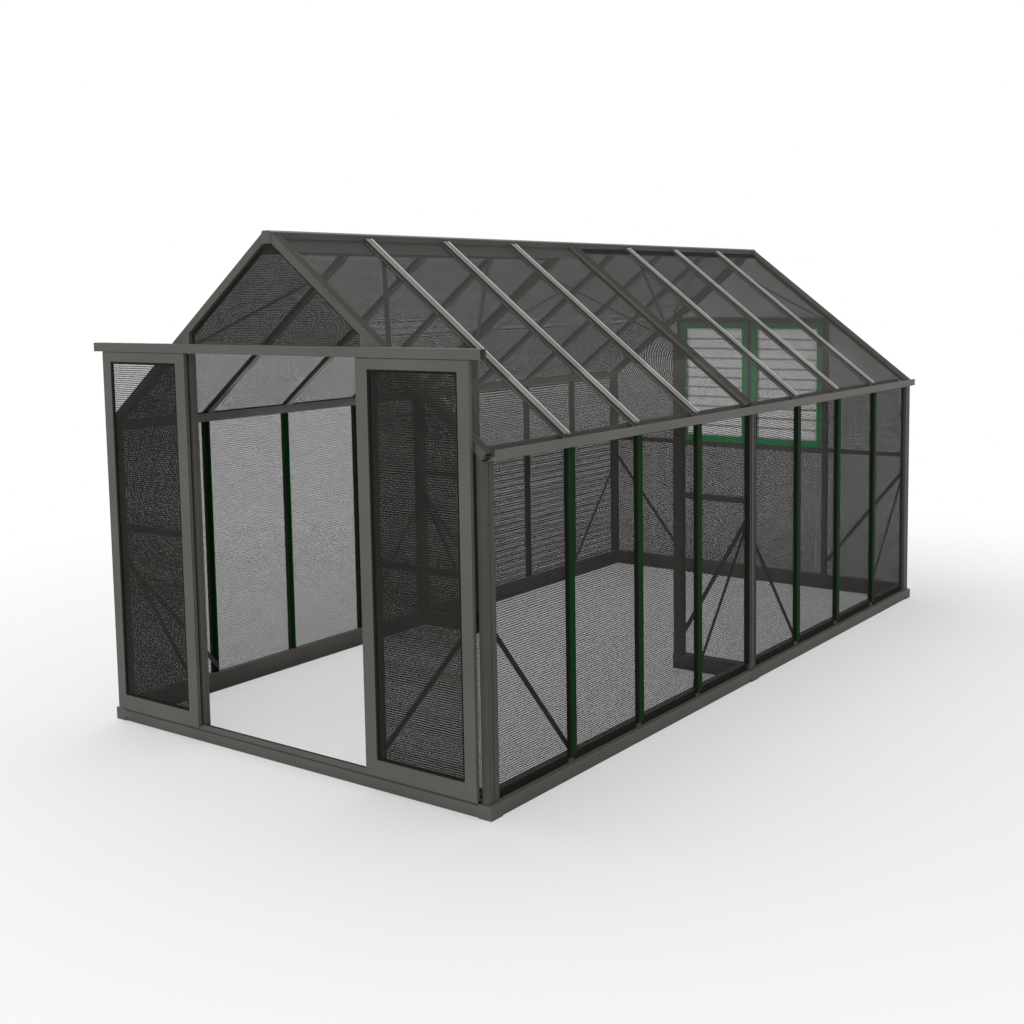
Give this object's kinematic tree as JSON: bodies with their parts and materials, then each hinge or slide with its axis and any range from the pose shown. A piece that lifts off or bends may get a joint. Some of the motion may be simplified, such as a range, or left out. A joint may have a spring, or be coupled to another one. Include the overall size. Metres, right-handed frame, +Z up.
{
  "type": "shade house",
  "caption": "Walk-in gabled shade house: metal frame on a low base, mesh cloth in every bay, twin sliding door leaves on a header track and louvre windows in the rear gable.",
  "frame": {"origin": "on the ground under the middle of the overall box", "axes": "+Z up, doors at -Y, louvre windows at +Y, +X to the right of someone facing the doors"},
  "size_m": [2.67, 5.1312, 2.6166],
  "materials": {
    "frame_grey": "satin powder coat, warm dark grey",
    "bar_green": "satin powder coat, dark green",
    "roof_bar_grey": "satin powder coat, light grey",
    "brace_steel": "galvanised strip",
    "shade_cloth": "knitted dark shade mesh",
    "window_green": "satin powder coat, green",
    "blade_white": "white, smooth",
    "roller_black": "black nylon",
    "bright_metal": "mill finish"
  },
  "bodies": {
    "house": {"base_front_sill": "frame_grey", "base_rails": "frame_grey", "base_joiners": "frame_grey", "corner_posts": "frame_grey", "mid_frame_posts": "frame_grey", "door_posts": "frame_grey", "window_posts": "frame_grey", "wall_bars": "bar_green", "roof_bars": "roof_bar_grey", "gutters": "frame_grey", "ridge_beams": "frame_grey", "gable_rafters": "frame_grey", "mid_rafters": "frame_grey", "end_wall_rails": "frame_grey", "wall_braces": "brace_steel", "roof_braces": "brace_steel", "door_track": "frame_grey", "left_wall_cloth": "shade_cloth", "right_wall_cloth": "shade_cloth", "left_roof_cloth": "shade_cloth", "right_roof_cloth": "shade_cloth", "front_wall_cloth": "shade_cloth", "rear_wall_cloth": "shade_cloth", "left_louvre_frame": "window_green", "right_louvre_frame": "window_green"},
    "left_leaf": {"left_leaf_frame": "frame_grey", "left_leaf_cloth": "shade_cloth", "left_leaf_hangers": "bright_metal"},
    "left_leaf_inner_roller": {"left_leaf_inner_roller": "roller_black"},
    "left_leaf_outer_roller": {"left_leaf_outer_roller": "roller_black"},
    "left_louvre_blade_01": {"left_louvre_blade_01": "blade_white"},
    "left_louvre_blade_02": {"left_louvre_blade_02": "blade_white"},
    "left_louvre_blade_03": {"left_louvre_blade_03": "blade_white"},
    "left_louvre_blade_04": {"left_louvre_blade_04": "blade_white"},
    "left_louvre_blade_05": {"left_louvre_blade_05": "blade_white"},
    "left_louvre_blade_06": {"left_louvre_blade_06": "blade_white"},
    "left_louvre_blade_07": {"left_louvre_blade_07": "blade_white"},
    "left_louvre_blade_08": {"left_louvre_blade_08": "blade_white"},
    "left_louvre_blade_09": {"left_louvre_blade_09": "blade_white"},
    "left_louvre_blade_10": {"left_louvre_blade_10": "blade_white"},
    "left_louvre_blade_11": {"left_louvre_blade_11": "blade_white"},
    "left_louvre_link_bar": {"left_louvre_link_bar": "bright_metal"},
    "right_leaf": {"right_leaf_frame": "frame_grey", "right_leaf_cloth": "shade_cloth", "right_leaf_hangers": "bright_metal"},
    "right_leaf_inner_roller": {"right_leaf_inner_roller": "roller_black"},
    "right_leaf_outer_roller": {"right_leaf_outer_roller": "roller_black"},
    "right_louvre_blade_01": {"right_louvre_blade_01": "blade_white"},
    "right_louvre_blade_02": {"right_louvre_blade_02": "blade_white"},
    "right_louvre_blade_03": {"right_louvre_blade_03": "blade_white"},
    "right_louvre_blade_04": {"right_louvre_blade_04": "blade_white"},
    "right_louvre_blade_05": {"right_louvre_blade_05": "blade_white"},
    "right_louvre_blade_06": {"right_louvre_blade_06": "blade_white"},
    "right_louvre_blade_07": {"right_louvre_blade_07": "blade_white"},
    "right_louvre_blade_08": {"right_louvre_blade_08": "blade_white"},
    "right_louvre_blade_09": {"right_louvre_blade_09": "blade_white"},
    "right_louvre_blade_10": {"right_louvre_blade_10": "blade_white"},
    "right_louvre_blade_11": {"right_louvre_blade_11": "blade_white"},
    "right_louvre_link_bar": {"right_louvre_link_bar": "bright_metal"}
  },
  "joints": [
    {"name": "left_leaf_slide", "type": "slide", "parent": "house", "child": "left_leaf", "axis": [1, 0, 0], "range_m": [0, 0.589]},
    {"name": "left_leaf_inner_roller_spin", "type": "hinge", "parent": "left_leaf", "child": "left_leaf_inner_roller", "pos_m": [-0.7, -2.54515, 2.03984], "axis": [0, 1, 0], "range_deg": [-20, 2830]},
    {"name": "left_leaf_outer_roller_spin", "type": "hinge", "parent": "left_leaf", "child": "left_leaf_outer_roller", "pos_m": [-1.137, -2.54515, 2.03984], "axis": [0, 1, 0], "range_deg": [-20, 2830]},
    {"name": "left_louvre_blade_01_tilt", "type": "hinge", "parent": "house", "child": "left_louvre_blade_01", "pos_m": [-0.3135, 2.53165, 1.17904], "axis": [1, 0, 0], "range_deg": [0, 80]},
    {"name": "left_louvre_blade_02_tilt", "type": "hinge", "parent": "house", "child": "left_louvre_blade_02", "pos_m": [-0.3135, 2.53165, 1.25653], "axis": [1, 0, 0], "range_deg": [0, 80]},
    {"name": "left_louvre_blade_03_tilt", "type": "hinge", "parent": "house", "child": "left_louvre_blade_03", "pos_m": [-0.3135, 2.53165, 1.33401], "axis": [1, 0, 0], "range_deg": [0, 80]},
    {"name": "left_louvre_blade_04_tilt", "type": "hinge", "parent": "house", "child": "left_louvre_blade_04", "pos_m": [-0.3135, 2.53165, 1.4115], "axis": [1, 0, 0], "range_deg": [0, 80]},
    {"name": "left_louvre_blade_05_tilt", "type": "hinge", "parent": "house", "child": "left_louvre_blade_05", "pos_m": [-0.3135, 2.53165, 1.48899], "axis": [1, 0, 0], "range_deg": [0, 80]},
    {"name": "left_louvre_blade_06_tilt", "type": "hinge", "parent": "house", "child": "left_louvre_blade_06", "pos_m": [-0.3135, 2.53165, 1.56647], "axis": [1, 0, 0], "range_deg": [0, 80]},
    {"name": "left_louvre_blade_07_tilt", "type": "hinge", "parent": "house", "child": "left_louvre_blade_07", "pos_m": [-0.3135, 2.53165, 1.64396], "axis": [1, 0, 0], "range_deg": [0, 80]},
    {"name": "left_louvre_blade_08_tilt", "type": "hinge", "parent": "house", "child": "left_louvre_blade_08", "pos_m": [-0.3135, 2.53165, 1.72144], "axis": [1, 0, 0], "range_deg": [0, 80]},
    {"name": "left_louvre_blade_09_tilt", "type": "hinge", "parent": "house", "child": "left_louvre_blade_09", "pos_m": [-0.3135, 2.53165, 1.79893], "axis": [1, 0, 0], "range_deg": [0, 80]},
    {"name": "left_louvre_blade_10_tilt", "type": "hinge", "parent": "house", "child": "left_louvre_blade_10", "pos_m": [-0.3135, 2.53165, 1.87641], "axis": [1, 0, 0], "range_deg": [0, 80]},
    {"name": "left_louvre_blade_11_tilt", "type": "hinge", "parent": "house", "child": "left_louvre_blade_11", "pos_m": [-0.3135, 2.53165, 1.9539], "axis": [1, 0, 0], "range_deg": [0, 80]},
    {"name": "left_louvre_link_bar_swing", "type": "hinge", "parent": "left_louvre_blade_01", "child": "left_louvre_link_bar", "pos_m": [-0.5661, 2.54314, 1.1694], "axis": [1, 0, 0], "range_deg": [-80, 0]},
    {"name": "right_leaf_slide", "type": "slide", "parent": "house", "child": "right_leaf", "axis": [-1, 0, 0], "range_m": [0, 0.589]},
    {"name": "right_leaf_inner_roller_spin", "type": "hinge", "parent": "right_leaf", "child": "right_leaf_inner_roller", "pos_m": [0.7, -2.54515, 2.03984], "axis": [0, -1, 0], "range_deg": [-20, 2830]},
    {"name": "right_leaf_outer_roller_spin", "type": "hinge", "parent": "right_leaf", "child": "right_leaf_outer_roller", "pos_m": [1.137, -2.54515, 2.03984], "axis": [0, -1, 0], "range_deg": [-20, 2830]},
    {"name": "right_louvre_blade_01_tilt", "type": "hinge", "parent": "house", "child": "right_louvre_blade_01", "pos_m": [0.3135, 2.53165, 1.17904], "axis": [1, 0, 0], "range_deg": [0, 80]},
    {"name": "right_louvre_blade_02_tilt", "type": "hinge", "parent": "house", "child": "right_louvre_blade_02", "pos_m": [0.3135, 2.53165, 1.25653], "axis": [1, 0, 0], "range_deg": [0, 80]},
    {"name": "right_louvre_blade_03_tilt", "type": "hinge", "parent": "house", "child": "right_louvre_blade_03", "pos_m": [0.3135, 2.53165, 1.33401], "axis": [1, 0, 0], "range_deg": [0, 80]},
    {"name": "right_louvre_blade_04_tilt", "type": "hinge", "parent": "house", "child": "right_louvre_blade_04", "pos_m": [0.3135, 2.53165, 1.4115], "axis": [1, 0, 0], "range_deg": [0, 80]},
    {"name": "right_louvre_blade_05_tilt", "type": "hinge", "parent": "house", "child": "right_louvre_blade_05", "pos_m": [0.3135, 2.53165, 1.48899], "axis": [1, 0, 0], "range_deg": [0, 80]},
    {"name": "right_louvre_blade_06_tilt", "type": "hinge", "parent": "house", "child": "right_louvre_blade_06", "pos_m": [0.3135, 2.53165, 1.56647], "axis": [1, 0, 0], "range_deg": [0, 80]},
    {"name": "right_louvre_blade_07_tilt", "type": "hinge", "parent": "house", "child": "right_louvre_blade_07", "pos_m": [0.3135, 2.53165, 1.64396], "axis": [1, 0, 0], "range_deg": [0, 80]},
    {"name": "right_louvre_blade_08_tilt", "type": "hinge", "parent": "house", "child": "right_louvre_blade_08", "pos_m": [0.3135, 2.53165, 1.72144], "axis": [1, 0, 0], "range_deg": [0, 80]},
    {"name": "right_louvre_blade_09_tilt", "type": "hinge", "parent": "house", "child": "right_louvre_blade_09", "pos_m": [0.3135, 2.53165, 1.79893], "axis": [1, 0, 0], "range_deg": [0, 80]},
    {"name": "right_louvre_blade_10_tilt", "type": "hinge", "parent": "house", "child": "right_louvre_blade_10", "pos_m": [0.3135, 2.53165, 1.87641], "axis": [1, 0, 0], "range_deg": [0, 80]},
    {"name": "right_louvre_blade_11_tilt", "type": "hinge", "parent": "house", "child": "right_louvre_blade_11", "pos_m": [0.3135, 2.53165, 1.9539], "axis": [1, 0, 0], "range_deg": [0, 80]},
    {"name": "right_louvre_link_bar_swing", "type": "hinge", "parent": "right_louvre_blade_01", "child": "right_louvre_link_bar", "pos_m": [0.5661, 2.54314, 1.1694], "axis": [1, 0, 0], "range_deg": [-80, 0]}
  ],
  "couplings": [
    {"joint": "left_leaf_inner_roller_spin", "follows": "left_leaf_slide", "rad_per_m": 83.333},
    {"joint": "left_leaf_outer_roller_spin", "follows": "left_leaf_slide", "rad_per_m": 83.333},
    {"joint": "left_louvre_blade_02_tilt", "follows": "left_louvre_blade_01_tilt", "ratio": 1},
    {"joint": "left_louvre_blade_03_tilt", "follows": "left_louvre_blade_01_tilt", "ratio": 1},
    {"joint": "left_louvre_blade_04_tilt", "follows": "left_louvre_blade_01_tilt", "ratio": 1},
    {"joint": "left_louvre_blade_05_tilt", "follows": "left_louvre_blade_01_tilt", "ratio": 1},
    {"joint": "left_louvre_blade_06_tilt", "follows": "left_louvre_blade_01_tilt", "ratio": 1},
    {"joint": "left_louvre_blade_07_tilt", "follows": "left_louvre_blade_01_tilt", "ratio": 1},
    {"joint": "left_louvre_blade_08_tilt", "follows": "left_louvre_blade_01_tilt", "ratio": 1},
    {"joint": "left_louvre_blade_09_tilt", "follows": "left_louvre_blade_01_tilt", "ratio": 1},
    {"joint": "left_louvre_blade_10_tilt", "follows": "left_louvre_blade_01_tilt", "ratio": 1},
    {"joint": "left_louvre_blade_11_tilt", "follows": "left_louvre_blade_01_tilt", "ratio": 1},
    {"joint": "left_louvre_link_bar_swing", "follows": "left_louvre_blade_01_tilt", "ratio": -1},
    {"joint": "right_leaf_inner_roller_spin", "follows": "right_leaf_slide", "rad_per_m": 83.333},
    {"joint": "right_leaf_outer_roller_spin", "follows": "right_leaf_slide", "rad_per_m": 83.333},
    {"joint": "right_louvre_blade_02_tilt", "follows": "right_louvre_blade_01_tilt", "ratio": 1},
    {"joint": "right_louvre_blade_03_tilt", "follows": "right_louvre_blade_01_tilt", "ratio": 1},
    {"joint": "right_louvre_blade_04_tilt", "follows": "right_louvre_blade_01_tilt", "ratio": 1},
    {"joint": "right_louvre_blade_05_tilt", "follows": "right_louvre_blade_01_tilt", "ratio": 1},
    {"joint": "right_louvre_blade_06_tilt", "follows": "right_louvre_blade_01_tilt", "ratio": 1},
    {"joint": "right_louvre_blade_07_tilt", "follows": "right_louvre_blade_01_tilt", "ratio": 1},
    {"joint": "right_louvre_blade_08_tilt", "follows": "right_louvre_blade_01_tilt", "ratio": 1},
    {"joint": "right_louvre_blade_09_tilt", "follows": "right_louvre_blade_01_tilt", "ratio": 1},
    {"joint": "right_louvre_blade_10_tilt", "follows": "right_louvre_blade_01_tilt", "ratio": 1},
    {"joint": "right_louvre_blade_11_tilt", "follows": "right_louvre_blade_01_tilt", "ratio": 1},
    {"joint": "right_louvre_link_bar_swing", "follows": "right_louvre_blade_01_tilt", "ratio": -1}
  ]
}
